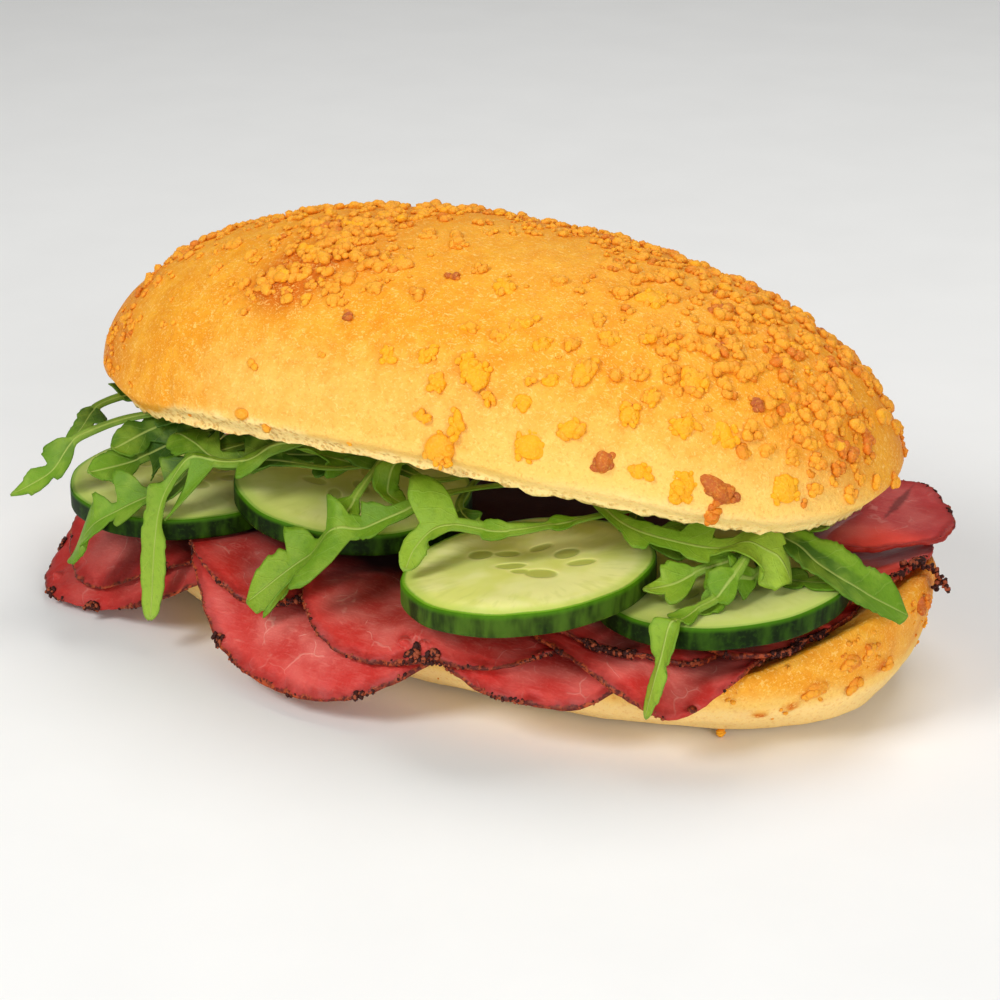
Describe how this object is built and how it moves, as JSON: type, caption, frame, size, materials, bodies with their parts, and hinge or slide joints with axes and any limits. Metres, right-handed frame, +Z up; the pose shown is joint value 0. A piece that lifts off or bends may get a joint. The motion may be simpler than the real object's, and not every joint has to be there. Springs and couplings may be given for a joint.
{
  "type": "pastrami sandwich",
  "caption": "Cheese-crusted oval roll, split and filled with draped pastrami slices, overlapping cucumber discs and loose rocket leaves that hang over its open front.",
  "frame": {"origin": "centre of the flat underside of the bottom half of the roll", "axes": "+Z up, +X along the roll towards the end whose bottom half shows, -Y towards the open front with the hanging leaves"},
  "size_m": [0.1825, 0.1057, 0.0807],
  "materials": {
    "bun": "satin",
    "pastrami": "satin",
    "cucumber": "satin",
    "rocket": "satin"
  },
  "bodies": {
    "root": {"bun_bottom": "bun", "pastrami_01": "pastrami", "pastrami_02": "pastrami", "pastrami_03": "pastrami", "pastrami_04": "pastrami", "pastrami_05": "pastrami", "pastrami_06": "pastrami", "pastrami_07": "pastrami", "pastrami_08": "pastrami", "pastrami_09": "pastrami", "pastrami_10": "pastrami", "pastrami_11": "pastrami", "cucumber_01": "cucumber", "cucumber_02": "cucumber", "cucumber_03": "cucumber", "cucumber_04": "cucumber", "rocket_01": "rocket", "rocket_02": "rocket", "rocket_03": "rocket", "rocket_04": "rocket", "rocket_05": "rocket", "rocket_06": "rocket", "rocket_07": "rocket", "rocket_08": "rocket", "rocket_09": "rocket", "rocket_10": "rocket", "rocket_11": "rocket", "rocket_12": "rocket", "rocket_13": "rocket", "rocket_14": "rocket", "rocket_15": "rocket", "rocket_16": "rocket", "rocket_17": "rocket", "rocket_18": "rocket", "rocket_19": "rocket", "rocket_20": "rocket", "rocket_21": "rocket", "rocket_22": "rocket", "bun_top": "bun"}
  },
  "joints": []
}
